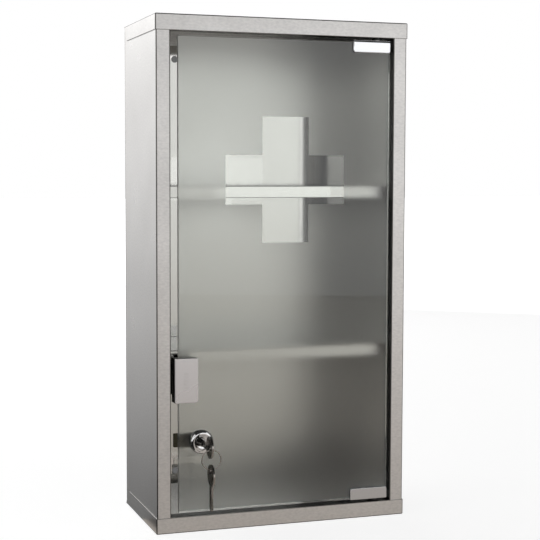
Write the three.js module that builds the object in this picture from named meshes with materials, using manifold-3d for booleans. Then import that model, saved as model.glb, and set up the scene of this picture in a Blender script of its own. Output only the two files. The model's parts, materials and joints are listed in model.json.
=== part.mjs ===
// Medicine cabinet: a folded stainless carcass with two shelves and a frosted glass door.
// Millimetres, +Z up, front towards -Y. The origin is the centre of the carcass underside.
import * as THREE from 'three';
import { mergeVertices } from 'three/addons/utils/BufferGeometryUtils.js';
import Module from 'manifold-3d';

// Carcass
const WIDTH = 302;
const DEPTH = 155;
const HEIGHT = 580;
const SHEET = 0.8;
const FIT = 0.3; // gap kept between pieces that touch
const CAP_FIT = 0.1; // gap between a side and the cap around it
const CAP_HEIGHT = 18;
const STILE_WIDTH = 17.2;
const LIP_DEPTH = 18;
const CAP_REAR_FLANGE = 20;
const SIDE_REAR_FLANGE = 12;
const FLANGE_SLANT = 14; // slant at the rear end of a cap's side flange
const FOLD = 0.1; // step that a fold leaves between two faces of one sheet
const WALL_HOLE_SPACING = 177;
const WALL_HOLE_INSET = 36.5;
const WALL_HOLE_DIAMETER = 8;

// Shelves
const UPPER_SHELF_Z = 391.1;
const LOWER_SHELF_Z = 203.9;
const SHELF_LIP = 13.9;
const SHELF_SETBACK = 26; // clear of the glass's edge as the door opens

// Door glass, with a clear cross left proud of the blasted inner face
const GLASS_THICKNESS = 5;
const GLASS_GAP_LEFT = 8.6;
const GLASS_GAP_RIGHT = 4.8;
const GLASS_GAP_TOP = 5.3;
const GLASS_GAP_BOTTOM = 5.5;
const GLASS_ARRIS = 0.5;
const CROSS_SPAN = 143;
const CROSS_BAR = 56;
const CROSS_Z = 398;
const CROSS_RELIEF = 0.3;

// Hinge clamps at the right-hand corners of the glass
const CLAMP_LENGTH = 46;
const CLAMP_HEIGHT = 14;
const CLAMP_FACE = 2.4;
const CLAMP_WALL = 1.2;
const CLAMP_BLOCK = 6;
const CLAMP_INSET = 0.75;
const CLAMP_CORNER = 2.5;
const CLAMP_BEVEL = 0.5;
const PAD_THICKNESS = 1;
const PAD_MARGIN = 2;
const HINGE_INSET = 13; // pivot to the right-hand edge of the glass
const PIN_DIAMETER = 4.8;
const PIN_SPIGOT_DIAMETER = 4;
const PIN_SPIGOT_LENGTH = 5;
const PIN_COLLAR_DIAMETER = 7.4;
const PIN_COLLAR = 1;
const PIN_OVERRUN = 1;
const BUSH_DIAMETER = 8;
const BUSH_FLANGE_DIAMETER = 11;
const BUSH_STEM = 4;
const SCREW_DIAMETER = 4;
const SCREW_HEAD_DIAMETER = 6.6;
const SCREW_HEAD = 2;
const SCREW_SLOT = 1;
const CLAMP_SCREW_SPACING = 16;
const CLAMP_SCREW_CENTRE = 11.5; // from the left end of the clamp

// Push plate and its holder on the left-hand edge of the glass
const PUSH_DROP = 30.8; // top of the lower shelf down to the middle of the plate
const PUSH_WIDTH = 27.6;
const PUSH_HEIGHT = 50.9;
const PUSH_OVERHANG = 4.9;
const PUSH_THICKNESS = 1.2;
const PUSH_CORNER_OUTER = 1.5;
const PUSH_CORNER_INNER = 2.5;
const PUSH_BEVEL = 0.5;
const PUSH_RIBS = 5;
const RIB_LENGTH = 5;
const RIB_WIDTH = 1.6;
const RIB_PITCH = 4;
const RIB_RELIEF = 0.3;
const HOLDER_DEPTH = 14;
const HOLDER_REVEAL = 0.5; // how far the plate stands past its holder
const HOLDER_SCREW_SPACING = 36;
const STRIKE_PLATE = 1;
const STRIKE_PLATE_WIDTH = 15;
const STRIKE_PLATE_HEIGHT = 24;

// Touch latch behind the holder, hung behind the front lip of the lower shelf
const LATCH_WIDTH = 23;
const LATCH_WALL = 3;
const LATCH_DEPTH = 19.6;
const LATCH_BELOW = 18; // middle of the plunger down to the underside of the body
const LATCH_REACH = 4.5; // plunger in front of its body
const PLUNGER_WIDTH = 13;
const PLUNGER_HEIGHT = 26;
const PLUNGER_LENGTH = 9.5;
const MAGNET_WIDTH = 9;
const MAGNET_HEIGHT = 20;
const MAGNET_THICKNESS = 3;
const SPRING_RADIUS = 3.6;
const SPRING_WIRE = 0.8;
const SPRING_TURNS = 4;
const LATCH_SCREW_SPACING = 12;
const LATCH_SCREW_DIAMETER = 3;
const LATCH_SCREW_LENGTH = 8; // from the front of the lip

// Cam lock through the glass
const LOCK_INSET = 25.9; // lock axis to the left-hand edge of the glass
const LOCK_Z = 103.3;
const BEZEL_DIAMETER = 27.5;
const BEZEL_RIM = 1.5;
const BEZEL_HEIGHT = 7;
const BEZEL_SHOULDER_DIAMETER = 25.5;
const BEZEL_SHOULDER = 1.5; // behind the nose
const NOSE_DIAMETER = 19.5;
const BARREL_DIAMETER = 18;
const BARREL_LENGTH = 13.5;
const PLUG_HEAD_DIAMETER = 16.4;
const PLUG_HEAD = 2.5;
const PLUG_DIAMETER = 12.4;
const PLUG_TAIL_DIAMETER = 8;
const GASKET_DIAMETER = 25;
const GASKET_THICKNESS = 1.5;
const NUT_DIAMETER = 24;
const NUT_THICKNESS = 3;
const CAM_LENGTH = 28.4;
const CAM_WIDTH = 16;
const CAM_THICKNESS = 2;
const CAM_TIP_CORNER = 1;
const CAM_CORNER = 7;
const CAM_SCREW_DIAMETER = 3;
const CAM_SCREW_HEAD_DIAMETER = 10;
const CAM_SCREW_LENGTH = 5;

// Strike on the left-hand stile, in front of the cam when the cam points down
const STRIKE_DROP = 23.3; // lock axis down to the middle of the arm
const STRIKE_ARM = 7;
const STRIKE_LEG = 24;
const STRIKE_THICKNESS = 1.2;
const STRIKE_CLEARANCE = 0.6;
const STRIKE_FRONT = 4; // front edge of the leg behind the front plane
const RIVET_SPACING = 16;
const RIVET_DIAMETER = 3;
const RIVET_HEAD_DIAMETER = 5.4;
const RIVET_HEAD = 1;

// Keys and ring
const KEY_THICKNESS = 2;
const KEY_BOW_RADIUS = 12.4;
const KEY_BLADE_WIDTH = 8.5;
const KEY_BLADE_LENGTH = 27;
const KEY_STANDOFF = 16.5; // bow to the nose of the lock
const KEY_TRAVEL_IN = 7;
const KEY_HOLE_DIAMETER = 5.2;
const KEY_HOLE_OFFSET = 5.4; // hole to the centre of the bow
const KEY_CUTS = 4;
const KEY_CUT_PITCH = 3.6;
const KEY_CUT_DEPTH = 1.8;
const KEY_TIP = 2.5;
const RING_DIAMETER = 23;
const RING_WIRE = 1.3;

// Facets
const ROUND = 32;
const SMALL_ROUND = 16;
const CORNER_STEPS = 2;
const SPRING_STEPS = 8;
const SPRING_SIDES = 5;

// Planes that the pieces share
const FRONT = -DEPTH / 2;
const REAR = DEPTH / 2;
const HALF = WIDTH / 2;
const BACK_INNER = REAR - SHEET - FIT; // rear faces of the flanges under the back panel
const SIDE_OUTER = HALF - SHEET - CAP_FIT;
const SIDE_INNER = SIDE_OUTER - SHEET;
const STILE_EDGE = HALF - STILE_WIDTH;
const STILE_FRONT = FRONT + SHEET + CAP_FIT;
const LIP_REAR = FRONT + LIP_DEPTH;
const GLASS_LEFT = -STILE_EDGE + GLASS_GAP_LEFT;
const GLASS_RIGHT = STILE_EDGE - GLASS_GAP_RIGHT;
const GLASS_CENTRE = (GLASS_LEFT + GLASS_RIGHT) / 2;
const GLASS_BOTTOM = CAP_HEIGHT + GLASS_GAP_BOTTOM;
const GLASS_TOP = HEIGHT - CAP_HEIGHT - GLASS_GAP_TOP;
const GLASS_BACK = FRONT + GLASS_THICKNESS;
const HINGE_X = GLASS_RIGHT - HINGE_INSET;
const LOCK_X = GLASS_LEFT + LOCK_INSET;
const CLAMP_FRONT = FRONT - FIT - CLAMP_FACE;
const BLOCK_FRONT = GLASS_BACK + FIT + PAD_THICKNESS + FIT;
const BLOCK_REAR = BLOCK_FRONT + CLAMP_BLOCK;
const HINGE_Y = (BLOCK_FRONT + BLOCK_REAR) / 2;
const CLAMP_RIGHT = GLASS_RIGHT - CLAMP_INSET;
const CLAMP_LEFT = CLAMP_RIGHT - CLAMP_LENGTH;
const PUSH_Z = LOWER_SHELF_Z - PUSH_DROP;
const PUSH_LEFT = GLASS_LEFT - PUSH_OVERHANG;
const HOLDER_REAR = FRONT + HOLDER_DEPTH;
const STRIKE_PLATE_REAR = HOLDER_REAR + FIT + STRIKE_PLATE;
const PLUNGER_FRONT = STRIKE_PLATE_REAR + FIT;
const LATCH_FRONT = PLUNGER_FRONT + LATCH_REACH;
const SHELF_FRONT = FRONT + SHELF_SETBACK;
const LATCH_REAR = LATCH_FRONT + LATCH_DEPTH;
const POCKET_END = LATCH_REAR - LATCH_WALL;
const LATCH_LEFT = -STILE_EDGE + SHEET + FIT;
const LATCH_X = LATCH_LEFT + LATCH_WIDTH / 2;
const NOSE = FIT + BEZEL_HEIGHT; // nose of the lock in front of the glass
const CAM_FRONT = BARREL_LENGTH + 2 * FIT; // behind the front plane
const RING_RADIUS = (RING_DIAMETER - RING_WIRE) / 2;
const RING_SEAT = (KEY_HOLE_DIAMETER - RING_WIRE) / 2 - FIT; // wire off the centre of a key's hole
const KEY_BOW_Y = -(NOSE + KEY_STANDOFF + KEY_BOW_RADIUS); // from the front plane
const KEY_HOLE_Y = KEY_BOW_Y - KEY_HOLE_OFFSET;
const RING_TOP_Z = -RING_SEAT; // from the lock axis
const RING_BOTTOM_Z = RING_TOP_Z - 2 * RING_RADIUS;

// Materials
function finish(color, metalness, roughness) {
  return new THREE.MeshStandardMaterial({ color, metalness, roughness });
}

const STAINLESS = finish(0xb9b5af, 1, 0.35);
const POLISHED = finish(0xc8c6c2, 1, 0.15);
const CHROME = finish(0xd5d5d5, 1, 0.08);
const GLASS = new THREE.MeshStandardMaterial({
  color: 0xa9ada6,
  roughness: 0.4,
  transparent: true,
  opacity: 0.5,
});
const BLACK_PLASTIC = finish(0x101010, 0, 0.5);
const NYLON = finish(0x282828, 0, 0.6);
const RUBBER = finish(0x1c1c1c, 0, 0.8);
const ZINC = finish(0x5a5a58, 1, 0.4);

// Solids
const MERGE_TOLERANCE = 1e-4;
const wasm = await Module();
wasm.setup();

function signedVolume(points, triangles) {
  const corners = [new THREE.Vector3(), new THREE.Vector3(), new THREE.Vector3()];
  let total = 0;
  for (let i = 0; i < triangles.length; i += 3) {
    corners.forEach((corner, k) => corner.fromArray(points, 3 * triangles[i + k]));
    total += corners[0].dot(corners[1].cross(corners[2])) / 6;
  }
  return total;
}

// A closed geometry as a solid whose faces point out.
function solid(geometry) {
  const bare = geometry.clone();
  bare.deleteAttribute('normal');
  bare.deleteAttribute('uv');
  const merged = mergeVertices(bare, MERGE_TOLERANCE);
  const points = new Float32Array(merged.attributes.position.array);
  const triangles = [];
  for (let i = 0; i < merged.index.count; i += 3) {
    const [a, b, c] = [0, 1, 2].map((k) => merged.index.getX(i + k));
    if (a !== b && b !== c && c !== a) {
      triangles.push(a, b, c);
    }
  }
  if (signedVolume(points, triangles) < 0) {
    triangles.reverse();
  }
  const triVerts = new Uint32Array(triangles);
  return new wasm.Manifold(new wasm.Mesh({ numProp: 3, vertProperties: points, triVerts }));
}

function join(bodies) {
  return bodies.reduce((whole, body) => whole.add(body));
}

function cut(body, tools) {
  return tools.reduce((rest, tool) => rest.subtract(tool), body);
}

function piece(name, body, material) {
  const { vertProperties, triVerts } = body.getMesh();
  const geometry = new THREE.BufferGeometry();
  geometry.setAttribute('position', new THREE.BufferAttribute(vertProperties, 3));
  geometry.setIndex(new THREE.BufferAttribute(triVerts, 1));
  geometry.computeVertexNormals();
  const mesh = new THREE.Mesh(geometry, material);
  mesh.name = name;
  return mesh;
}

function group(...children) {
  const holder = new THREE.Group();
  holder.add(...children);
  return holder;
}

// A box with its corners exactly on pairs of planes, given in either order.
function box(...spans) {
  const geometry = new THREE.BoxGeometry();
  const corners = geometry.attributes.position;
  for (let k = 0; k < corners.count; k += 1) {
    const place = [corners.getX(k), corners.getY(k), corners.getZ(k)];
    corners.setXYZ(k, ...spans.map((span, axis) => span[place[axis] < 0 ? 0 : 1]));
  }
  return solid(geometry);
}

// A rectangle with its own radius at each corner, from the low corner and anticlockwise.
function roundedRect([a0, a1], [b0, b1], radii) {
  const corners = [
    [a0, b0, 1, 1],
    [a1, b0, -1, 1],
    [a1, b1, -1, -1],
    [a0, b1, 1, -1],
  ];
  const shape = new THREE.Shape();
  corners.forEach(([a, b, inA, inB], k) => {
    const radius = radii[k];
    const start = Math.PI + (k * Math.PI) / 2;
    if (radius > 0) {
      shape.absarc(a + inA * radius, b + inB * radius, radius, start, start + Math.PI / 2);
    } else if (k === 0) {
      shape.moveTo(a, b);
    } else {
      shape.lineTo(a, b);
    }
  });
  shape.closePath();
  return shape;
}

function polygon(points) {
  return new THREE.Shape(points.map(([a, b]) => new THREE.Vector2(a, b)));
}

const PLANES = {
  xz: { u: [1, 0, 0], v: [0, 0, 1], w: [0, -1, 0] },
  yz: { u: [0, 1, 0], v: [0, 0, 1], w: [1, 0, 0] },
  xy: { u: [1, 0, 0], v: [0, 1, 0], w: [0, 0, 1] },
};

// A shape drawn in a plane and drawn out square to it between two places.
function extrude(shape, plane, [from, to], bevel = 0) {
  const geometry = new THREE.ExtrudeGeometry(shape, {
    depth: to - from - 2 * bevel,
    curveSegments: CORNER_STEPS,
    bevelEnabled: bevel > 0,
    bevelThickness: bevel,
    bevelSize: bevel,
    bevelOffset: -bevel,
    bevelSegments: 1,
  });
  geometry.translate(0, 0, bevel);
  const { u, v, w } = PLANES[plane];
  const axes = [u, v, w].map((axis) => new THREE.Vector3(...axis));
  geometry.applyMatrix4(new THREE.Matrix4().makeBasis(...axes));
  const shift = axes[2].multiplyScalar(plane === 'xz' ? -to : from);
  geometry.translate(shift.x, shift.y, shift.z);
  return solid(geometry);
}

// A turned piece about an axis through the origin; the profile is radius and place along it.
function turned(profile, axis, sides = ROUND) {
  const points = profile.map(([radius, along]) => new THREE.Vector2(radius, along));
  const geometry = new THREE.LatheGeometry(points, sides);
  if (axis === 'x') {
    geometry.rotateZ(-Math.PI / 2);
  } else if (axis === 'z') {
    geometry.rotateX(Math.PI / 2);
  }
  return solid(geometry);
}

function rod(axis, [from, to], diameter, sides = SMALL_ROUND) {
  const radius = diameter / 2;
  return turned([[0, from], [radius, from], [radius, to], [0, to]], axis, sides);
}

// A slotted screw along Y: its shank from tip to seat, its head behind the seat.
function screw(tip, seat, diameter, headDiameter) {
  const head = seat + FIT;
  const end = head + SCREW_HEAD;
  const body = turned([
    [0, tip],
    [diameter / 2, tip],
    [diameter / 2, head],
    [headDiameter / 2, head],
    [headDiameter / 2, end],
    [0, end],
  ], 'y', SMALL_ROUND);
  const slot = box(
    [-headDiameter, headDiameter],
    [end - SCREW_HEAD / 2, end + SCREW_HEAD],
    [-SCREW_SLOT / 2, SCREW_SLOT / 2],
  );
  return body.subtract(slot);
}

// Carcass: two caps that fit over the sides, and a back panel between their flanges.
// Heights are measured from the cap's own end of the cabinet.
function cap(name, atHeight) {
  const block = box([-HALF, HALF], [FRONT, BACK_INNER], [atHeight(0), atHeight(CAP_HEIGHT)]);
  const cavity = box(
    [SHEET - HALF, HALF - SHEET],
    [FRONT + SHEET, REAR + SHEET],
    [atHeight(SHEET), atHeight(2 * CAP_HEIGHT)],
  );
  const slant = extrude(polygon([
    [REAR, atHeight(2 * SHEET)],
    [BACK_INNER - SHEET, atHeight(2 * SHEET)],
    [REAR - FLANGE_SLANT, atHeight(CAP_HEIGHT)],
    [REAR - FLANGE_SLANT, atHeight(2 * CAP_HEIGHT)],
    [REAR, atHeight(2 * CAP_HEIGHT)],
  ]), 'yz', [-WIDTH, WIDTH]);
  const lipHalf = STILE_EDGE - FIT;
  const lip = box(
    [-lipHalf, lipHalf],
    [FRONT + SHEET / 2, LIP_REAR],
    [atHeight(CAP_HEIGHT - FOLD - SHEET), atHeight(CAP_HEIGHT - FOLD)],
  );
  const rearHalf = SIDE_OUTER - SIDE_REAR_FLANGE - FIT;
  const rearFlange = box(
    [-rearHalf, rearHalf],
    [BACK_INNER - FOLD - SHEET, BACK_INNER - FOLD],
    [atHeight(SHEET / 2), atHeight(CAP_REAR_FLANGE)],
  );
  const bushHole = rod('z', [-CAP_HEIGHT / 2, CAP_HEIGHT / 2], BUSH_DIAMETER + 2 * FIT);
  const body = join([cut(block, [cavity, slant]), lip, rearFlange]);
  return piece(name, body.subtract(bushHole.translate([HINGE_X, HINGE_Y, atHeight(CAP_HEIGHT)])), STAINLESS);
}

// A side panel in section: stile and lip in front, flange behind.
function side(name, sign, holes) {
  const section = [
    [STILE_EDGE, LIP_REAR],
    [STILE_EDGE, STILE_FRONT],
    [SIDE_OUTER, STILE_FRONT],
    [SIDE_OUTER, BACK_INNER],
    [SIDE_OUTER - SIDE_REAR_FLANGE, BACK_INNER],
    [SIDE_OUTER - SIDE_REAR_FLANGE, BACK_INNER - SHEET],
    [SIDE_INNER, BACK_INNER - SHEET],
    [SIDE_INNER, STILE_FRONT + SHEET],
    [STILE_EDGE + SHEET, STILE_FRONT + SHEET],
    [STILE_EDGE + SHEET, LIP_REAR],
  ];
  const outline = polygon(section.map(([x, y]) => [sign * x, y]));
  const body = extrude(outline, 'xy', [SHEET + FIT, HEIGHT - SHEET - FIT]);
  return piece(name, cut(body, holes), STAINLESS);
}

function backPanel() {
  const panel = box([-SIDE_OUTER, SIDE_OUTER], [REAR - SHEET, REAR], [0, HEIGHT]);
  const holes = [];
  for (const x of [-WALL_HOLE_SPACING / 2, WALL_HOLE_SPACING / 2]) {
    for (const z of [WALL_HOLE_INSET, HEIGHT - WALL_HOLE_INSET]) {
      holes.push(rod('y', [-SHEET, SHEET], WALL_HOLE_DIAMETER).translate([x, REAR - SHEET / 2, z]));
    }
  }
  return piece('back_panel', cut(panel, holes), STAINLESS);
}

function shelf(name, top, holes) {
  const half = SIDE_INNER - FIT;
  const rear = BACK_INNER - SHEET - FIT;
  const block = box([-half, half], [SHELF_FRONT, rear], [top - SHELF_LIP, top]);
  const hollow = box(
    [SHEET - half, half - SHEET],
    [SHELF_FRONT + SHEET, rear - SHEET],
    [top - 2 * SHELF_LIP, top - SHEET],
  );
  return piece(name, cut(block, [hollow, ...holes]), POLISHED);
}

// Strike: a leg riveted to the lip of the left-hand stile, and an arm behind the glass.
const STRIKE_Z = LOCK_Z - STRIKE_DROP;
const STRIKE_LEFT = -STILE_EDGE + FIT;
const STRIKE_REAR = FRONT + CAM_FRONT - STRIKE_CLEARANCE;
const RIVET_Y = (FRONT + STRIKE_FRONT + STRIKE_REAR) / 2;
const RIVET_HEIGHTS = [STRIKE_Z - RIVET_SPACING / 2, STRIKE_Z + RIVET_SPACING / 2];

function rivetHole(z) {
  const across = [STRIKE_LEFT - 2 * SHEET - FIT, STRIKE_LEFT + 2 * STRIKE_THICKNESS];
  return rod('x', across, RIVET_DIAMETER + 2 * FIT).translate([0, RIVET_Y, z]);
}

function lockStrike() {
  const leg = box(
    [STRIKE_LEFT, STRIKE_LEFT + STRIKE_THICKNESS],
    [FRONT + STRIKE_FRONT, STRIKE_REAR],
    [STRIKE_Z - STRIKE_LEG / 2, STRIKE_Z + STRIKE_LEG / 2],
  );
  const arm = box(
    [STRIKE_LEFT, LOCK_X + STRIKE_ARM / 2],
    [STRIKE_REAR - STRIKE_THICKNESS, STRIKE_REAR],
    [STRIKE_Z - STRIKE_ARM / 2, STRIKE_Z + STRIKE_ARM / 2],
  );
  return piece('lock_strike', cut(join([leg, arm]), RIVET_HEIGHTS.map(rivetHole)), POLISHED);
}

function strikeRivet(name, z) {
  const outside = -STILE_EDGE - SHEET - FIT;
  const inside = STRIKE_LEFT + STRIKE_THICKNESS + FIT;
  const body = turned([
    [0, outside - RIVET_HEAD],
    [RIVET_HEAD_DIAMETER / 2, outside - RIVET_HEAD],
    [RIVET_HEAD_DIAMETER / 2, outside],
    [RIVET_DIAMETER / 2, outside],
    [RIVET_DIAMETER / 2, inside],
    [RIVET_HEAD_DIAMETER / 2, inside],
    [RIVET_HEAD_DIAMETER / 2, inside + RIVET_HEAD],
    [0, inside + RIVET_HEAD],
  ], 'x', SMALL_ROUND);
  return piece(name, body.translate([0, RIVET_Y, z]), ZINC);
}

// Door glass
function doorGlass() {
  const outline = roundedRect([GLASS_LEFT, GLASS_RIGHT], [GLASS_BOTTOM, GLASS_TOP], [0, 0, 0, 0]);
  const pane = extrude(outline, 'xz', [FRONT, GLASS_BACK], GLASS_ARRIS);
  const relief = [GLASS_BACK - GLASS_THICKNESS / 2, GLASS_BACK + CROSS_RELIEF];
  const bar = (width, height) => box(
    [GLASS_CENTRE - width / 2, GLASS_CENTRE + width / 2],
    relief,
    [CROSS_Z - height / 2, CROSS_Z + height / 2],
  );
  const cross = join([bar(CROSS_SPAN, CROSS_BAR), bar(CROSS_BAR, CROSS_SPAN)]);
  const hole = rod('y', [-GLASS_THICKNESS, 2 * GLASS_THICKNESS], BARREL_DIAMETER + 2 * FIT, ROUND);
  return piece('door_glass', cut(join([pane, cross]), [hole.translate([LOCK_X, FRONT, LOCK_Z])]), GLASS);
}

// A hinge at one end of the glass; past(t) is a height t beyond that end.
function hinge(end, past, lipFace) {
  const outer = FIT + CLAMP_WALL;
  const inner = outer - CLAMP_HEIGHT;
  const heights = [past(inner), past(outer)].sort((a, b) => a - b);
  const away = end === 'upper' ? [1, 1, 0, 0] : [0, 0, 1, 1];
  const facePlate = extrude(
    roundedRect([CLAMP_LEFT, CLAMP_RIGHT], heights, away.map((on) => on * CLAMP_CORNER)),
    'xz',
    [CLAMP_FRONT, FRONT - FIT],
    CLAMP_BEVEL,
  );
  const jaw = extrude(polygon([
    [FRONT - FIT - CLAMP_FACE / 2, past(FIT)],
    [BLOCK_FRONT, past(FIT)],
    [BLOCK_FRONT, past(inner)],
    [BLOCK_REAR, past(inner)],
    [BLOCK_REAR, past(outer - FOLD)],
    [FRONT - FIT - CLAMP_FACE / 2, past(outer - FOLD)],
  ]), 'yz', [CLAMP_LEFT + 2 * FOLD, CLAMP_RIGHT - 2 * FOLD]);
  const middle = (past(inner) + past(FIT)) / 2;
  const screwX = [0, 1].map((k) => CLAMP_LEFT + CLAMP_SCREW_CENTRE + (k - 0.5) * CLAMP_SCREW_SPACING);
  const screwHole = rod('y', [BLOCK_FRONT - FIT, BLOCK_REAR + FIT], SCREW_DIAMETER + 2 * FIT);
  const spigotEnd = outer - PIN_SPIGOT_LENGTH;
  const spigotHole = rod('z', [past(spigotEnd - FIT), past(outer + FIT)], PIN_SPIGOT_DIAMETER + 2 * FIT);
  const clamp = cut(join([facePlate, jaw]), [
    ...screwX.map((x) => screwHole.translate([x, 0, middle])),
    spigotHole.translate([HINGE_X, HINGE_Y, 0]),
  ]);

  const pad = box(
    [CLAMP_LEFT + PAD_MARGIN, CLAMP_RIGHT - PAD_MARGIN],
    [GLASS_BACK + FIT, GLASS_BACK + FIT + PAD_THICKNESS],
    [past(inner + PAD_MARGIN), past(-PAD_MARGIN)],
  );

  const collar = outer + FIT;
  const flange = collar + PIN_COLLAR + FIT;
  const lip = Math.abs(lipFace - past(0));
  const stemEnd = lip + SHEET + BUSH_STEM;
  const pin = turned([
    [0, past(spigotEnd)],
    [PIN_SPIGOT_DIAMETER / 2, past(spigotEnd)],
    [PIN_SPIGOT_DIAMETER / 2, past(collar)],
    [PIN_COLLAR_DIAMETER / 2, past(collar)],
    [PIN_COLLAR_DIAMETER / 2, past(collar + PIN_COLLAR)],
    [PIN_DIAMETER / 2, past(collar + PIN_COLLAR)],
    [PIN_DIAMETER / 2, past(stemEnd + PIN_OVERRUN)],
    [0, past(stemEnd + PIN_OVERRUN)],
  ], 'z', SMALL_ROUND);
  const bore = PIN_DIAMETER / 2 + FIT;
  const bush = turned([
    [bore, past(flange)],
    [BUSH_FLANGE_DIAMETER / 2, past(flange)],
    [BUSH_FLANGE_DIAMETER / 2, past(lip - FIT)],
    [BUSH_DIAMETER / 2, past(lip - FIT)],
    [BUSH_DIAMETER / 2, past(stemEnd)],
    [bore, past(stemEnd)],
    [bore, past(flange)],
  ], 'z', SMALL_ROUND);
  const tip = GLASS_BACK + FIT + PAD_THICKNESS + FIT;
  const clampScrew = screw(tip, BLOCK_REAR, SCREW_DIAMETER, SCREW_HEAD_DIAMETER);
  return group(
    piece(`${end}_hinge_clamp`, clamp, CHROME),
    piece(`${end}_clamp_pad`, pad, RUBBER),
    piece(`${end}_hinge_pin`, pin.translate([HINGE_X, HINGE_Y, 0]), ZINC),
    piece(`${end}_hinge_bush`, bush.translate([HINGE_X, HINGE_Y, 0]), NYLON),
    ...screwX.map((x, k) => piece(`${end}_clamp_screw_${k + 1}`, clampScrew.translate([x, 0, middle]), ZINC)),
  );
}

// Push plate: a pressed chrome face on a black holder that grips the edge of the glass.
const PUSH_RIGHT = PUSH_LEFT + PUSH_WIDTH;
const PUSH_HEIGHTS = [PUSH_Z - PUSH_HEIGHT / 2, PUSH_Z + PUSH_HEIGHT / 2];
const HOLDER_LEFT = PUSH_LEFT + HOLDER_REVEAL;
const HOLDER_RIGHT = PUSH_RIGHT - HOLDER_REVEAL;
const HOLDER_SCREWS = [PUSH_Z - HOLDER_SCREW_SPACING / 2, PUSH_Z + HOLDER_SCREW_SPACING / 2];

function pushPlate() {
  const front = FRONT - FIT - PUSH_THICKNESS;
  const radii = [PUSH_CORNER_OUTER, PUSH_CORNER_INNER, PUSH_CORNER_INNER, PUSH_CORNER_OUTER];
  const face = extrude(
    roundedRect([PUSH_LEFT, PUSH_RIGHT], PUSH_HEIGHTS, radii),
    'xz',
    [front, FRONT - FIT],
    PUSH_BEVEL,
  );
  const middle = (PUSH_LEFT + PUSH_RIGHT) / 2;
  const ribs = [];
  for (let k = 0; k < PUSH_RIBS; k += 1) {
    const z = PUSH_Z + (k - (PUSH_RIBS - 1) / 2) * RIB_PITCH;
    ribs.push(box(
      [middle - RIB_LENGTH / 2, middle + RIB_LENGTH / 2],
      [front - RIB_RELIEF, front + PUSH_THICKNESS / 2],
      [z - RIB_WIDTH / 2, z + RIB_WIDTH / 2],
    ));
  }
  return piece('push_plate', join([face, ...ribs]), CHROME);
}

function pushHolder() {
  const heights = [PUSH_HEIGHTS[0] + HOLDER_REVEAL, PUSH_HEIGHTS[1] - HOLDER_REVEAL];
  const outline = polygon([
    [HOLDER_LEFT, FRONT],
    [GLASS_LEFT - FIT, FRONT],
    [GLASS_LEFT - FIT, GLASS_BACK + FIT],
    [HOLDER_RIGHT, GLASS_BACK + FIT],
    [HOLDER_RIGHT, HOLDER_REAR],
    [HOLDER_LEFT, HOLDER_REAR],
  ]);
  const body = extrude(outline, 'xy', heights);
  const hole = rod('y', [GLASS_BACK, HOLDER_REAR + FIT], SCREW_DIAMETER + 2 * FIT);
  const holes = HOLDER_SCREWS.map((z) => hole.translate([LATCH_X, 0, z]));
  return piece('push_holder', cut(body, holes), BLACK_PLASTIC);
}

function pushStrike() {
  const body = box(
    [LATCH_X - STRIKE_PLATE_WIDTH / 2, LATCH_X + STRIKE_PLATE_WIDTH / 2],
    [HOLDER_REAR + FIT, STRIKE_PLATE_REAR],
    [PUSH_Z - STRIKE_PLATE_HEIGHT / 2, PUSH_Z + STRIKE_PLATE_HEIGHT / 2],
  );
  return piece('push_strike', body, ZINC);
}

function pushScrew(name, z) {
  const body = screw(GLASS_BACK + FIT, HOLDER_REAR, SCREW_DIAMETER, SCREW_HEAD_DIAMETER);
  return piece(name, body.translate([LATCH_X, 0, z]), ZINC);
}

// Touch latch
const LATCH_SCREWS = [LATCH_X - LATCH_SCREW_SPACING / 2, LATCH_X + LATCH_SCREW_SPACING / 2];
const LATCH_SCREW_Z = LOWER_SHELF_Z - SHELF_LIP / 2;

function latchScrewHole(x) {
  const along = [SHELF_FRONT - SHEET, SHELF_FRONT + LATCH_SCREW_LENGTH + FIT];
  return rod('y', along, LATCH_SCREW_DIAMETER + 2 * FIT).translate([x, 0, LATCH_SCREW_Z]);
}

function centredSpan(middle, length) {
  return [middle - length / 2, middle + length / 2];
}

function latchBox(width, along, height) {
  return box(centredSpan(LATCH_X, width), along, centredSpan(PUSH_Z, height));
}

function latchBody() {
  const top = LOWER_SHELF_Z - SHEET - FIT;
  const block = box(
    centredSpan(LATCH_X, LATCH_WIDTH),
    [LATCH_FRONT, LATCH_REAR],
    [PUSH_Z - LATCH_BELOW, top],
  );
  const lipRoom = box(
    centredSpan(LATCH_X, LATCH_WIDTH + 2 * FIT),
    [LATCH_FRONT - FIT, SHELF_FRONT + SHEET + FIT],
    [LOWER_SHELF_Z - SHELF_LIP - FIT, top + FIT],
  );
  const pocket = latchBox(
    PLUNGER_WIDTH + 2 * FIT,
    [LATCH_FRONT - FIT, POCKET_END],
    PLUNGER_HEIGHT + 2 * FIT,
  );
  const holes = LATCH_SCREWS.map(latchScrewHole);
  return piece('latch_body', cut(block, [lipRoom, pocket, ...holes]), BLACK_PLASTIC);
}

// Its head is in front of the lip.
function latchScrew(name, x) {
  const body = screw(0, LATCH_SCREW_LENGTH, LATCH_SCREW_DIAMETER, 2 * LATCH_SCREW_DIAMETER);
  const mesh = piece(name, body, ZINC);
  mesh.rotation.z = Math.PI;
  mesh.position.set(x, SHELF_FRONT + LATCH_SCREW_LENGTH, LATCH_SCREW_Z);
  return mesh;
}

function latchPlunger() {
  const slider = latchBox(PLUNGER_WIDTH, [PLUNGER_FRONT, PLUNGER_FRONT + PLUNGER_LENGTH], PLUNGER_HEIGHT);
  const seat = latchBox(
    MAGNET_WIDTH + 2 * FIT,
    [PLUNGER_FRONT - FIT, PLUNGER_FRONT + MAGNET_THICKNESS + FIT],
    MAGNET_HEIGHT + 2 * FIT,
  );
  return piece('latch_plunger', slider.subtract(seat), BLACK_PLASTIC);
}

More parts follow.
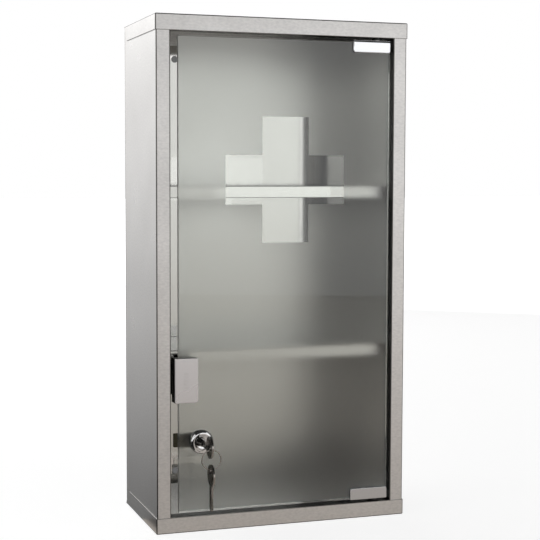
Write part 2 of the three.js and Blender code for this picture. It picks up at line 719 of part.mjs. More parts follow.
function latchMagnet() {
  const body = latchBox(MAGNET_WIDTH, [PLUNGER_FRONT, PLUNGER_FRONT + MAGNET_THICKNESS], MAGNET_HEIGHT);
  return piece('latch_magnet', body, ZINC);
}

// A coil from the plunger back to the end of its pocket, as one tube.
function latchSpring() {
  const start = PLUNGER_FRONT + PLUNGER_LENGTH + FIT + SPRING_WIRE / 2;
  const end = POCKET_END - FIT - SPRING_WIRE / 2;
  const steps = SPRING_TURNS * SPRING_STEPS;
  const centres = [];
  for (let k = 0; k <= steps; k += 1) {
    const angle = (2 * Math.PI * k) / SPRING_STEPS;
    centres.push(new THREE.Vector3(
      LATCH_X + SPRING_RADIUS * Math.cos(angle),
      start + ((end - start) * k) / steps,
      PUSH_Z + SPRING_RADIUS * Math.sin(angle),
    ));
  }
  const clear = leastGap(centres, SPRING_STEPS, SPRING_WIRE);
  console.log(`latch spring: least gap between turns ${clear.toFixed(2)} mm`);
  const path = new THREE.CatmullRomCurve3(centres);
  const corners = [];
  for (let k = 0; k < SPRING_SIDES; k += 1) {
    const angle = (2 * Math.PI * k) / SPRING_SIDES;
    corners.push([(SPRING_WIRE / 2) * Math.cos(angle), (SPRING_WIRE / 2) * Math.sin(angle)]);
  }
  const geometry = new THREE.ExtrudeGeometry(polygon(corners), { steps, extrudePath: path });
  return piece('latch_spring', solid(geometry), ZINC);
}

// Least gap between points of a coil that lie at least half a turn apart.
function leastGap(points, stepsPerTurn, wire) {
  let least = Infinity;
  points.forEach((point, k) => {
    points.slice(k + Math.ceil(stepsPerTurn / 2)).forEach((other) => {
      least = Math.min(least, point.distanceTo(other) - wire);
    });
  });
  return least;
}

// Lock. Places are measured from the front plane, on the lock's own axis.
function lockBody() {
  const head = -NOSE + PLUG_HEAD + 2 * FIT;
  const plugBore = PLUG_DIAMETER / 2 + FIT;
  const body = turned([
    [BEZEL_DIAMETER / 2, -FIT],
    [BEZEL_DIAMETER / 2, -FIT - BEZEL_RIM],
    [BEZEL_SHOULDER_DIAMETER / 2, BEZEL_SHOULDER - NOSE],
    [NOSE_DIAMETER / 2, -NOSE],
    [PLUG_HEAD_DIAMETER / 2 + FIT, -NOSE],
    [PLUG_HEAD_DIAMETER / 2 + FIT, head],
    [plugBore, head],
    [plugBore, BARREL_LENGTH],
    [BARREL_DIAMETER / 2, BARREL_LENGTH],
    [BARREL_DIAMETER / 2, -FIT],
    [BEZEL_DIAMETER / 2, -FIT],
  ], 'y');
  return piece('lock_body', body, CHROME);
}

function lockRing(name, diameter, [from, to], sides, material) {
  const bore = rod('y', [from - FIT, to + FIT], BARREL_DIAMETER + 2 * FIT, ROUND);
  return piece(name, rod('y', [from, to], diameter, sides).subtract(bore), material);
}

const PLUG_END = CAM_FRONT + CAM_THICKNESS;

function lockPlug() {
  const body = turned([
    [0, -NOSE],
    [PLUG_HEAD_DIAMETER / 2, -NOSE],
    [PLUG_HEAD_DIAMETER / 2, -NOSE + PLUG_HEAD],
    [PLUG_DIAMETER / 2, -NOSE + PLUG_HEAD],
    [PLUG_DIAMETER / 2, CAM_FRONT - FIT],
    [PLUG_TAIL_DIAMETER / 2, CAM_FRONT - FIT],
    [PLUG_TAIL_DIAMETER / 2, PLUG_END],
    [0, PLUG_END],
  ], 'y');
  const bladeEnd = KEY_BOW_Y + KEY_BOW_RADIUS + KEY_BLADE_LENGTH;
  const slot = box(
    [-KEY_THICKNESS / 2 - FIT, KEY_THICKNESS / 2 + FIT],
    [-NOSE - FIT, bladeEnd + KEY_TRAVEL_IN + FIT],
    [-KEY_BLADE_WIDTH / 2 - FIT, KEY_BLADE_WIDTH / 2 + FIT],
  );
  const thread = rod('y', [PLUG_END - CAM_SCREW_LENGTH - FIT, PLUG_END + FIT], CAM_SCREW_DIAMETER + 2 * FIT);
  return piece('lock_plug', cut(body, [slot, thread]), CHROME);
}

function lockCam() {
  const half = CAM_WIDTH / 2;
  const radii = [CAM_TIP_CORNER, CAM_CORNER, CAM_CORNER, CAM_TIP_CORNER];
  const outline = roundedRect([-CAM_LENGTH, half], [-half, half], radii);
  const plate = extrude(outline, 'xz', [CAM_FRONT, CAM_FRONT + CAM_THICKNESS]);
  const hole = rod('y', [CAM_FRONT - FIT, CAM_FRONT + 2 * CAM_THICKNESS], PLUG_TAIL_DIAMETER + 2 * FIT);
  return piece('lock_cam', plate.subtract(hole), ZINC);
}

function camScrew() {
  return piece(
    'cam_screw',
    screw(PLUG_END - CAM_SCREW_LENGTH, PLUG_END, CAM_SCREW_DIAMETER, CAM_SCREW_HEAD_DIAMETER),
    ZINC,
  );
}

// A key in its own frame: the bow's centre at the origin, the blade along +Y, cuts on the -Z edge.
function keySolid() {
  const bow = rod('x', [-KEY_THICKNESS / 2, KEY_THICKNESS / 2], 2 * KEY_BOW_RADIUS, ROUND);
  const half = KEY_BLADE_WIDTH / 2;
  const end = KEY_BOW_RADIUS + KEY_BLADE_LENGTH;
  const edge = [[0, half], [0, -half]];
  const firstCut = end - KEY_TIP - KEY_CUTS * KEY_CUT_PITCH;
  for (let k = 0; k < KEY_CUTS; k += 1) {
    const start = firstCut + k * KEY_CUT_PITCH;
    edge.push([start, -half], [start + KEY_CUT_PITCH / 2, -half + KEY_CUT_DEPTH]);
  }
  edge.push([end - KEY_TIP, -half], [end, -half + KEY_TIP], [end, half - KEY_TIP], [end - KEY_TIP, half]);
  const blade = extrude(polygon(edge), 'yz', [-KEY_THICKNESS / 2, KEY_THICKNESS / 2]);
  const hole = rod('x', [-KEY_THICKNESS, KEY_THICKNESS], KEY_HOLE_DIAMETER);
  return join([bow, blade]).subtract(hole.translate([0, -KEY_HOLE_OFFSET, 0]));
}

function keyInLock() {
  const key = piece('key', keySolid(), CHROME);
  key.position.set(0, KEY_BOW_Y, 0);
  return key;
}

function keyRing() {
  const torus = new THREE.TorusGeometry(RING_RADIUS, RING_WIRE / 2, 6, ROUND);
  torus.rotateX(Math.PI / 2);
  const ring = piece('key_ring', solid(torus), CHROME);
  ring.position.set(0, KEY_HOLE_Y, RING_TOP_Z - RING_RADIUS);
  return ring;
}

// The spare key hangs from the ring with its blade down and its cuts to the front.
function spareKey() {
  const key = piece('spare_key', keySolid(), CHROME);
  key.rotation.set(-Math.PI / 2, 0, 0);
  key.position.set(0, KEY_HOLE_Y, RING_BOTTOM_Z - RING_SEAT - KEY_HOLE_OFFSET);
  return key;
}

const lock = group(
  lockBody(),
  lockRing('lock_gasket', GASKET_DIAMETER, [
    GLASS_THICKNESS + FIT,
    GLASS_THICKNESS + FIT + GASKET_THICKNESS,
  ], ROUND, RUBBER),
  lockRing('lock_nut', NUT_DIAMETER, [
    GLASS_THICKNESS + GASKET_THICKNESS + 2 * FIT,
    GLASS_THICKNESS + GASKET_THICKNESS + 2 * FIT + NUT_THICKNESS,
  ], 6, ZINC),
  lockPlug(),
  lockCam(),
  camScrew(),
  keyInLock(),
  keyRing(),
  spareKey(),
);
lock.position.set(LOCK_X, FRONT, LOCK_Z);

const carcass = group(
  cap('top_cap', (z) => HEIGHT - z),
  cap('bottom_cap', (z) => z),
  side('left_side', -1, RIVET_HEIGHTS.map(rivetHole)),
  side('right_side', 1, []),
  backPanel(),
  shelf('upper_shelf', UPPER_SHELF_Z, []),
  shelf('lower_shelf', LOWER_SHELF_Z, LATCH_SCREWS.map(latchScrewHole)),
  lockStrike(),
  ...RIVET_HEIGHTS.map((z, k) => strikeRivet(`strike_rivet_${k + 1}`, z)),
);

const latch = group(
  latchBody(),
  latchPlunger(),
  latchMagnet(),
  latchSpring(),
  ...LATCH_SCREWS.map((x, k) => latchScrew(`latch_screw_${k + 1}`, x)),
);

const door = group(
  doorGlass(),
  hinge('upper', (t) => GLASS_TOP + t, HEIGHT - CAP_HEIGHT),
  hinge('lower', (t) => GLASS_BOTTOM - t, CAP_HEIGHT),
  pushPlate(),
  pushHolder(),
  pushStrike(),
  ...HOLDER_SCREWS.map((z, k) => pushScrew(`push_screw_${k + 1}`, z)),
  lock,
);

export default group(carcass, latch, door);
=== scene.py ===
# Medicine cabinet: the finish of every piece, the studio light and the camera.
import json
import math

import bmesh
import bpy
from mathutils import Matrix, Vector


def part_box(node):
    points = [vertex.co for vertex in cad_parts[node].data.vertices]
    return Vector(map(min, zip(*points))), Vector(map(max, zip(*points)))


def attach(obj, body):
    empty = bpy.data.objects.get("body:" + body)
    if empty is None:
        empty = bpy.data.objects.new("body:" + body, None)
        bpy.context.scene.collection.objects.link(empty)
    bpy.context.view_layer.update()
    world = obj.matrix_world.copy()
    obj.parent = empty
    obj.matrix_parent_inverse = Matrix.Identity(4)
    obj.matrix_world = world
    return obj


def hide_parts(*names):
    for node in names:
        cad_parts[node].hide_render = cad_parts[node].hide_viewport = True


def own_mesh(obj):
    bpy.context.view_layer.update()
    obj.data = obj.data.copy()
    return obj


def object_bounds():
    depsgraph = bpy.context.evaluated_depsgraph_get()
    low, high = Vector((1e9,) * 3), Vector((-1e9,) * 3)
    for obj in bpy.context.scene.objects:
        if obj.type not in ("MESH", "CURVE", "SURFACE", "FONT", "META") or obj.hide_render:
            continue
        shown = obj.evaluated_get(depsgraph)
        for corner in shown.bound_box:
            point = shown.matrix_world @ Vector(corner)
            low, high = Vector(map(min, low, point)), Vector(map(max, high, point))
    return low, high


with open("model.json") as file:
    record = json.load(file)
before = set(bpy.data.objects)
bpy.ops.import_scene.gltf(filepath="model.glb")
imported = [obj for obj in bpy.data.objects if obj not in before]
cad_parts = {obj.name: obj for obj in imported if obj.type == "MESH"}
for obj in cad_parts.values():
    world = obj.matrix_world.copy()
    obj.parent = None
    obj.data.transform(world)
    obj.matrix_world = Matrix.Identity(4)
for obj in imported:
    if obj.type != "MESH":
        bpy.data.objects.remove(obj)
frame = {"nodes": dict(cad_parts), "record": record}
CAD_LOW, CAD_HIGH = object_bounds()

# Folded sheet, in metres
SHEET = 0.0008
FOLD_RADIUS = 0.0012
RAIL_ROUND = 0.0005
HEM_ROUND = 0.0006
LIP_PLACE = 0.0179
RAIL_HEIGHT = 0.018
REAR_FLANGE = 0.02
WALL_HOLE_SPACING = 0.177
WALL_HOLE_INSET = 0.0365
WALL_HOLE_RADIUS = 0.004

# Door glass
FRONT = -0.0775
GLASS_BACK = -0.0725
FIT = 0.0003

# Hinge clamps
CLAMP_WALL = 0.0012
CLAMP_FACE = 0.0024
CLAMP_CORNER = 0.0025
CLAMP_ROUND = 0.0009
CLAMP_BEND = 0.0022
JAW_INSET = 0.0002
BLOCK_FRONT = -0.0709

# Lock
BEZEL_RADIUS = 0.01375
BEZEL_RIM = 0.0015
DOME_POWER = 2.3
DOME_STEPS = 12
NOSE_RADIUS = 0.00975
PLUG_RECESS_RADIUS = 0.0085
PLUG_RECESS = 0.0031
PLUG_BORE_RADIUS = 0.0065
BARREL_RADIUS = 0.009
THREAD_PITCH = 0.001
THREAD_DEPTH = 0.0003
PLUG_HEAD = 0.0025
PLUG_HEAD_RADIUS = 0.0082
PLUG_DISH = 0.0004
PLUG_DISH_RADIUS = 0.0062
PLUG_RADIUS = 0.0062
PLUG_TAIL_RADIUS = 0.004
KEYWAY_WIDTH = 0.0026
KEYWAY_HEIGHT = 0.0091
CAM_CORNERS = (0.001, 0.007, 0.007, 0.001)

# Keys and ring
KEY_THICKNESS = 0.002
KEY_BOW_RADIUS = 0.0124
KEY_BLADE_WIDTH = 0.0085
KEY_BLADE_LENGTH = 0.027
KEY_HOLE_RADIUS = 0.0026
KEY_HOLE_OFFSET = 0.0054
KEY_CUT_PITCH = 0.0036
KEY_CUT_DEPTHS = (0.0018, 0.0011, 0.0016, 0.0009)
KEY_CUT_FLAT = 0.3
KEY_TIP = 0.0025
KEY_ROUND = 0.00022
KEY_RECESS = 0.0003
KEY_RECESS_RADIUS = 0.0102
KEY_GROOVE_WIDTH = 0.0016
KEY_GROOVE_DEPTH = 0.0005
KEY_GROOVE_OFFSET = 0.0013
RING_WIRE_RADIAL = 0.0012
RING_WIRE_AXIAL = 0.00062
RING_TURNS = 2

# Push plate
PUSH_CORNERS = (0.0015, 0.0035, 0.0035, 0.0015)
PUSH_THICKNESS = 0.0012
PUSH_ROUND = 0.0007
PUSH_RIBS = 5
RIB_LENGTH = 0.005
RIB_WIDTH = 0.0016
RIB_PITCH = 0.004
RIB_ROUND = 0.0002

# Screws and rivets; shares are of a head's rounding, a shank's radius and a rivet's head
SCREW_RADIUS = 0.002
SMALL_SCREW_RADIUS = 0.0015
SCREW_HEAD = 0.002
SCREW_SLOT = 0.001
SCREW_SLOT_DEPTH = 0.0009
HEAD_ROUND = 0.0005
CHAMFER_SHARE = 0.3
TIP_SHARE = 0.6
TIP_LENGTH = 0.5
RIVET_RADIUS = 0.0015
RIVET_HEAD = 0.001
CROWN_SHARE = 0.6
CROWN_DROP = 0.15

# Latch spring
SPRING_TURNS = 4
SPRING_WIRE = 0.0008

# Mesh steps, tolerances, square corners and axes
ROUND_STEPS = 64
SMALL_ROUND_STEPS = 40
CORNER_STEPS = 8
FOLD_STEPS = 4
WIRE_SIDES = 10
SMOOTH_ANGLE = math.radians(35)
FLAT_ANGLE = math.radians(1)
EDGE_ROUND = 0.00018
EDGE_STEPS = 2
WELD = 1e-6
ON_PLANE = 1e-5
ROUND_PROFILE = 0.5
SQUARE = (0, 0, 0, 0)
X, Y, Z = range(3)

# Materials
NOISE_LOW = 0.3
NOISE_HIGH = 0.7
GLASS_COLOR = (0.93, 0.95, 0.93, 1)
GLASS_IOR = 1.5

# Camera
CAMERA_PLACE = Vector((-0.50578, -1.50707, 0.403985))
CAMERA_YAW = math.radians(-18.855)
CAMERA_PITCH = math.radians(4.105)
CAMERA_ROLL = math.radians(0.17)
CAMERA_LENS = 88.705
CAMERA_SENSOR = 36

# Studio
WORLD_COLOR = (1, 1, 1, 1)
FLOOR_SIZE = 20
FLOOR_COLOR = (0.45, 0.45, 0.45, 1)
FLOOR_ROUGHNESS = 0.9
FLOOR_GLOW = 0.8
TONE_DEPTH = 0.001
TONE_REACH = 8
DARK_EDGE = -0.16

# Tones of the floor that the metal and glass reflect: share of the reach from the cabinet, and colour
FRONT_LEFT_TONES = (
    (0.0, (0.012, 0.012, 0.012)),
    (0.3, (0.03, 0.03, 0.03)),
    (1.0, (0.1, 0.1, 0.1)),
)
FRONT_RIGHT_TONES = (
    (0.0, (0.46, 0.42, 0.38)),
    (0.09, (0.52, 0.48, 0.45)),
    (0.3, (0.68, 0.63, 0.58)),
    (1.0, (0.95, 0.95, 0.95)),
)
REAR_TONES = (
    (0.0, (0.16, 0.16, 0.16)),
    (0.09, (0.38, 0.38, 0.38)),
    (0.3, (0.66, 0.66, 0.66)),
    (1.0, (0.8, 0.8, 0.8)),
)

# Light of the cards: share of a card's height, and strength there
DARK_STOPS = (
    (0.0, 0.0),
    (0.11, 0.1),
    (0.25, 0.5),
    (0.36, 0.8),
    (0.45, 1.5),
    (0.56, 1.7),
    (0.69, 0.3),
    (1.0, 0.05),
)
LIGHT_STOPS = (
    (0.0, 1.16),
    (0.1, 1.22),
    (0.3, 1.26),
    (0.58, 1.24),
    (0.62, 1.55),
    (0.73, 1.55),
    (0.78, 1.15),
    (1.0, 1.1),
)
REAR_STOPS = (
    (0.0, 0.52),
    (0.08, 0.79),
    (0.18, 0.89),
    (0.28, 1.03),
    (0.4, 1.14),
    (0.5, 1.2),
    (0.62, 1.8),
    (1.0, 2.1),
)
RIGHT_STOPS = ((0.0, 0.2), (1.0, 0.2))
REAR_RIGHT_STOPS = ((0.0, 0.25), (1.0, 0.25))

# Cards: name, bearing and half width in degrees, distance, height and light; a bearing is taken from
# straight in front of the cabinet, to its right
CARDS = (
    ("dark_card", -29, 31, 2.6, 1.8, DARK_STOPS),
    ("light_card", 22, 14, 3.0, 1.3, LIGHT_STOPS),
    ("rear_card", -166, 24, 3.0, 1.6, REAR_STOPS),
    ("right_card", 90, 28, 2.4, 2.6, RIGHT_STOPS),
    ("rear_right_card", 142, 24, 2.4, 2.0, REAR_RIGHT_STOPS),
)
CANOPY_HALF_WIDTH = 1.9
CANOPY_LINE = ((2.2, 2.3), (-2.6, 2.3), (-3.0, 1.32))
CANOPY_GLOW = 0.04

# Shades behind the wall holes
SHADE_RADIUS = 0.0052
SHADE_DEPTH = 0.0005
SHADE_GLOW = 0.13


def link(obj):
    bpy.context.scene.collection.objects.link(obj)
    return obj


def make_camera():
    data = bpy.data.cameras.new("camera")
    data.lens = CAMERA_LENS
    data.sensor_width = CAMERA_SENSOR
    camera = link(bpy.data.objects.new("camera", data))
    up = Vector((0, 0, 1))
    ahead = Vector((-math.sin(CAMERA_YAW), math.cos(CAMERA_YAW), 0))
    right = Vector((math.cos(CAMERA_YAW), math.sin(CAMERA_YAW), 0))
    look = ahead * math.cos(CAMERA_PITCH) - up * math.sin(CAMERA_PITCH)
    top = up * math.cos(CAMERA_PITCH) + ahead * math.sin(CAMERA_PITCH)
    across = right * math.cos(CAMERA_ROLL) + top * math.sin(CAMERA_ROLL)
    head = top * math.cos(CAMERA_ROLL) - right * math.sin(CAMERA_ROLL)
    turn = Matrix((across, head, -look)).transposed().to_4x4()
    camera.matrix_world = Matrix.Translation(CAMERA_PLACE) @ turn
    bpy.context.scene.camera = camera


# Materials
class Nodes:
    """A node tree that is built by adding nodes with their inputs."""

    def __init__(self, tree):
        self.tree = tree
        tree.nodes.clear()

    def add(self, kind, inputs=None, **settings):
        node = self.tree.nodes.new(kind)
        for name, value in settings.items():
            setattr(node, name, value)
        for name, value in (inputs or {}).items():
            self.set(node, name, value)
        return node

    def set(self, node, name, value):
        socket = node.inputs[name]
        if isinstance(value, bpy.types.NodeSocket):
            self.tree.links.new(value, socket)
        else:
            socket.default_value = value

    def ramp(self, level, stops):
        """A colour that follows a level through stops of place and colour."""
        node = self.add("ShaderNodeValToRGB", {"Fac": level})
        elements = node.color_ramp.elements
        while len(elements) < len(stops):
            elements.new(1.0)
        for element, (place, color) in zip(elements, stops):
            element.position = place
            element.color = (*color, 1)
        return node.outputs["Color"]

    def spread(self, level, low, high):
        """A number between low and high that follows the middle of a noise."""
        node = self.add("ShaderNodeMapRange", {
            "Value": level,
            "From Min": NOISE_LOW,
            "From Max": NOISE_HIGH,
            "To Min": low,
            "To Max": high,
        })
        return node.outputs["Result"]

    def noise(self, scale, stretch=(1, 1, 1), detail=3.0):
        """A noise in the object's own metres; scale is its grains to the metre."""
        place = self.add("ShaderNodeTexCoord").outputs["Object"]
        drawn = self.add("ShaderNodeMapping", {"Vector": place, "Scale": stretch})
        inputs = {"Vector": drawn.outputs["Vector"], "Scale": scale, "Detail": detail}
        return self.add("ShaderNodeTexNoise", inputs).outputs["Fac"]


def empty_material(name):
    material = bpy.data.materials.new(name)
    material.use_nodes = True
    return material, Nodes(material.node_tree)


def new_material(name, principled):
    material, nodes = empty_material(name)
    shader = nodes.add("ShaderNodeBsdfPrincipled", principled)
    nodes.add("ShaderNodeOutputMaterial", {"Surface": shader.outputs[0]})
    return material, nodes, shader


def grained(name, tones, metallic, roughness, scale, relief, stretch=(1, 1, 1), cloud=14):
    """A finish with a fine grain in its colour and relief, and a cloudy roughness."""
    material, nodes, shader = new_material(name, {"Metallic": metallic})
    grain = nodes.noise(scale, stretch)
    patches = nodes.noise(cloud)
    dark, light = tones
    nodes.set(shader, "Base Color", nodes.ramp(grain, ((NOISE_LOW, dark), (NOISE_HIGH, light))))
    nodes.set(shader, "Roughness", nodes.spread(patches, *roughness))
    bump = nodes.add("ShaderNodeBump", {"Height": grain, "Distance": relief})
    nodes.set(shader, "Normal", bump.outputs["Normal"])
    return material


def glass(name, roughness, scale):
    material, nodes, shader = new_material(name, {
        "Base Color": GLASS_COLOR,
        "IOR": GLASS_IOR,
        "Transmission Weight": 1.0,
    })
    nodes.set(shader, "Roughness", nodes.spread(nodes.noise(scale), *roughness))
    return material


SATIN = grained("satin_steel", ((0.57, 0.56, 0.55), (0.67, 0.655, 0.64)), 1, (0.27, 0.34), 480, 2e-5)
BRUSHED = grained(
    "brushed_steel", ((0.61, 0.6, 0.59), (0.71, 0.695, 0.68)), 1, (0.31, 0.37), 480, 2e-5, (0.5, 1, 1))
# Gap shade steel: a near-black steel on the lips, flange faces and stile edges round the door, as painted
# shade in the gaps.
GAP_SHADE = grained("gap_shade_steel", ((0.06, 0.06, 0.06), (0.1, 0.1, 0.1)), 1, (0.4, 0.5), 600, 1e-5)
# Fold shade steel: a dark steel on the rounded folds, the rail seams and the hem under each shelf's lip, as
# painted shade lines.
FOLD_SHADE = grained("fold_shade_steel", ((0.13, 0.125, 0.12), (0.18, 0.175, 0.17)), 1, (0.3, 0.4), 600, 1e-5)
POLISHED = grained(
    "polished_steel", ((0.68, 0.67, 0.65), (0.71, 0.7, 0.68)), 1, (0.06, 0.11), 700, 1e-6, (1, 1, 0.04))
SHELF = grained(
    "shelf_steel", ((0.27, 0.265, 0.26), (0.31, 0.305, 0.3)), 1, (0.16, 0.24), 700, 1e-6, (0.04, 1, 1))
# A darker copy of the polished steel for the inside faces of the caps and sides: painted shade inside the
# cabinet.
INNER_SHADE = grained(
    "inner_shade_steel", ((0.52, 0.51, 0.5), (0.56, 0.55, 0.54)), 1, (0.06, 0.11), 700, 1e-6, (1, 1, 0.04))
CHROME = grained("chrome", ((0.72, 0.72, 0.72), (0.76, 0.76, 0.76)), 1, (0.04, 0.09), 500, 1e-6)
# A darker, cooler copy of the chrome for the hinge clamps: painted shade that also offsets the warm floor
# they reflect.
SHADED_CLAMP_CHROME = grained("shaded_clamp_chrome", ((0.63, 0.64, 0.66), (0.66, 0.67, 0.69)), 1, (0.04, 0.09), 500, 1e-6)
SATIN_CHROME = grained("satin_chrome", ((0.67, 0.66, 0.67), (0.7, 0.69, 0.7)), 1, (0.24, 0.3), 900, 1e-6)
# Darkened nickel for the keys: a painted reflection of a dark room round them.
SHADED_NICKEL = grained("shaded_key_nickel", ((0.27, 0.255, 0.235), (0.33, 0.315, 0.295)), 1, (0.1, 0.2), 1500, 6e-6)
DARK_ZINC = grained("dark_zinc", ((0.06, 0.056, 0.04), (0.1, 0.095, 0.07)), 1, (0.3, 0.42), 900, 1e-5)
ZINC = grained("zinc_steel", ((0.36, 0.36, 0.35), (0.48, 0.47, 0.44)), 1, (0.28, 0.42), 900, 1e-5)
BLACK = grained("black_plastic", ((0.008, 0.008, 0.008), (0.018, 0.018, 0.018)), 0, (0.36, 0.5), 2500, 2e-5)
NYLON = grained("nylon", ((0.02, 0.02, 0.02), (0.035, 0.035, 0.035)), 0, (0.42, 0.55), 1200, 1e-5)
RUBBER = grained("rubber", ((0.012, 0.012, 0.012), (0.03, 0.03, 0.03)), 0, (0.6, 0.8), 1800, 3e-5)
CLEAR = glass("clear_glass", (0.0, 0.012), 9)
FROSTED = glass("frosted_glass", (0.46, 0.54), 700)
SHEET_FINISHES = [SATIN, INNER_SHADE, GAP_SHADE, FOLD_SHADE, BRUSHED]
SHELF_FINISHES = [SHELF, FOLD_SHADE, POLISHED]
BACK_FINISHES = [SATIN, POLISHED]
GLASS_FINISHES = [CLEAR, FROSTED]
SLOT_FINISH = {
    "stainless": SATIN,
    "polished_steel": POLISHED,
    "frosted_glass": FROSTED,
    "chrome": CHROME,
    "black_plastic": BLACK,
    "nylon": NYLON,
    "rubber": RUBBER,
    "zinc_steel": ZINC,
}
SLOTS = {row["node"]: row["material_slot"] for row in frame["record"]["subparts"]}
BODIES = {}
for body_name, node_names in frame["record"]["behaviour"]["bodies"].items():
    for node_name in node_names:
        BODIES[node_name] = body_name


def finish_nodes():
    """Gives each carried-over solid its finish and eases its edges."""
    for name, obj in frame["nodes"].items():
        obj.data.materials.clear()
        obj.data.materials.append(SLOT_FINISH[SLOTS[name]])
        ease_edges(obj, EDGE_ROUND)


# Mesh helpers
def piece(name, bm, node, materials=None):
    """Makes a mesh into a piece that stands for a solid, on its body and in its slot."""
    mesh = bpy.data.meshes.new(name)
    bm.to_mesh(mesh)
    bm.free()
    if "custom_normal" in mesh.attributes:
        mesh.attributes.remove(mesh.attributes["custom_normal"])
    for material in materials or [SLOT_FINISH[SLOTS[node]]]:
        mesh.materials.append(material)
    mesh.shade_smooth()
    mesh.set_sharp_from_angle(angle=SMOOTH_ANGLE)
    obj = link(bpy.data.objects.new(name, mesh))
    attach(obj, BODIES[node])
    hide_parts(node)
    return obj


def ease_edges(obj, width):
    modifier = obj.modifiers.new("ease", "BEVEL")
    modifier.width = width
    modifier.segments = EDGE_STEPS
    modifier.limit_method = "ANGLE"
    modifier.angle_limit = SMOOTH_ANGLE
    even_normals(obj)


def even_normals(obj):
    """Keeps the shading of flat faces flat beside their rounded edges."""
    modifier = obj.modifiers.new("even", "WEIGHTED_NORMAL")
    modifier.keep_sharp = True


def centre_of(node):
    low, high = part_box(node)
    return (low + high) / 2


def solid_copy(node):
    """A mesh of a solid, with its flat faces whole again."""
    bm = bmesh.new()
    bm.from_mesh(frame["nodes"][node].data)
    bmesh.ops.remove_doubles(bm, verts=bm.verts, dist=WELD)
    bmesh.ops.dissolve_limit(bm, angle_limit=FLAT_ANGLE, verts=bm.verts, edges=bm.edges)
    return bm


def on_plane(verts, plane):
    axis, place = plane
    return all(abs(vert.co[axis] - place) < ON_PLANE for vert in verts)


def round_off(bm, edges, radius, index=-1):
    """Rounds edges; an index gives the new faces a material of their own."""
    bmesh.ops.bevel(
        bm,
        geom=edges,
        offset=radius,
        segments=FOLD_STEPS,
        profile=ROUND_PROFILE,
        affect="EDGES",
        material=index,
    )


def round_edges(bm, radius, planes, index=-1):
    """Rounds the edges that lie on two of the planes."""
    chosen = []
    for edge in bm.edges:
        if sum(on_plane(edge.verts, plane) for plane in planes) > 1:
            chosen.append(edge)
    round_off(bm, chosen, radius, index)


def round_rim(bm, radius, plane):
    """Rounds the sharp edges around the flat face that lies on a plane."""
    chosen = []
    for edge in bm.edges:
        faces_on = sum(on_plane(face.verts, plane) for face in edge.link_faces)
        sharp = edge.calc_face_angle(0) > SMOOTH_ANGLE
        if on_plane(edge.verts, plane) and faces_on == 1 and sharp:
            chosen.append(edge)
    round_off(bm, chosen, radius)


def paint(bm, index, planes):
    """Gives the faces on any of the planes another material."""
    for face in bm.faces:
        if any(on_plane(face.verts, plane) for plane in planes):
            face.material_index = index


def boolean(bm, other, operation):
    """Joins two closed meshes, or cuts the second from the first."""
    holders = []
    for part in (bm, other):
        mesh = bpy.data.meshes.new("work")
        part.to_mesh(mesh)
        part.free()
        holders.append(link(bpy.data.objects.new("work", mesh)))
    body, tool = holders
    modifier = body.modifiers.new("work", "BOOLEAN")
    modifier.operation = operation
    modifier.object = tool
    modifier.solver = "EXACT"
    shaped = body.evaluated_get(bpy.context.evaluated_depsgraph_get())
    result = bmesh.new()
    result.from_mesh(shaped.to_mesh())
    shaped.to_mesh_clear()
    for holder in holders:
        mesh = holder.data
        bpy.data.objects.remove(holder)
        bpy.data.meshes.remove(mesh)
    return result


def cut(bm, *tools):
    for tool in tools:
        bm = boolean(bm, tool, "DIFFERENCE")
    return bm


def join(bm, *others):
    for other in others:
        bm = boolean(bm, other, "UNION")
    return bm


def add_shell(bm, other):
    """Adds a closed mesh that is sunk into the first, without cutting either."""
    mesh = bpy.data.meshes.new("work")
    other.to_mesh(mesh)
    other.free()
    bm.from_mesh(mesh)
    bpy.data.meshes.remove(mesh)


def rounded_rect(low, high, radii):
    """Points of a rectangle with a radius at each corner, from the low corner and anticlockwise."""
    (a0, b0), (a1, b1) = low, high
    corners = ((a0, b0, 1, 1), (a1, b0, -1, 1), (a1, b1, -1, -1), (a0, b1, 1, -1))
    points = []
    for k, (a, b, in_a, in_b) in enumerate(corners):
        steps = CORNER_STEPS if radii[k] > 0 else 0
        for step in range(steps + 1):
            angle = math.pi * (1 + k / 2) + math.pi / 2 * step / max(steps, 1)
            points.append((
                a + radii[k] * (in_a + math.cos(angle)),
                b + radii[k] * (in_b + math.sin(angle)),
            ))
    return points


def plate(points, axis, start, end):
    """An outline in the plane square to an axis, drawn out along it."""
    others = [k for k in range(3) if k != axis]
    bm = bmesh.new()
    loops = []
    for along in (start, end):
        loop = []
        for point in points:
            spot = Vector()
            spot[axis] = along
            spot[others[0]], spot[others[1]] = point
            loop.append(bm.verts.new(spot))
        bm.faces.new(loop)
        loops.append(loop)
    for k in range(len(points)):
        after = (k + 1) % len(points)
        bm.faces.new((loops[0][k], loops[0][after], loops[1][after], loops[1][k]))
    bmesh.ops.recalc_face_normals(bm, faces=bm.faces)
    return bm


def block(low, high):
    return plate(rounded_rect(low[:2], high[:2], SQUARE), Z, low[2], high[2])


def turned(profile, centre, axis, steps=ROUND_STEPS, closed=False):
    """A turned mesh; the profile is radius and place along an axis through the centre."""
    bm = bmesh.new()
    rings = []
    for radius, along in profile:
        ring = []
        for k in range(steps if radius > 0 else 1):
            angle = 2 * math.pi * k / steps
            spot = Vector(centre)
            spot[axis] = along
            spot[(axis + 1) % 3] += radius * math.cos(angle)
            spot[(axis + 2) % 3] += radius * math.sin(angle)
            ring.append(bm.verts.new(spot))
        rings.append(ring)
    if closed:
        rings.append(rings[0])
    for one, two in zip(rings, rings[1:]):
        for k in range(steps):
            after = (k + 1) % steps
            corners = [one[k % len(one)], one[after % len(one)], two[after % len(two)], two[k % len(two)]]
            bm.faces.new(list(dict.fromkeys(corners)))
    bmesh.ops.recalc_face_normals(bm, faces=bm.faces)
    return bm


def drill(centre, axis, radius, start, end):
    return turned([(0, start), (radius, start), (radius, end), (0, end)], centre, axis)


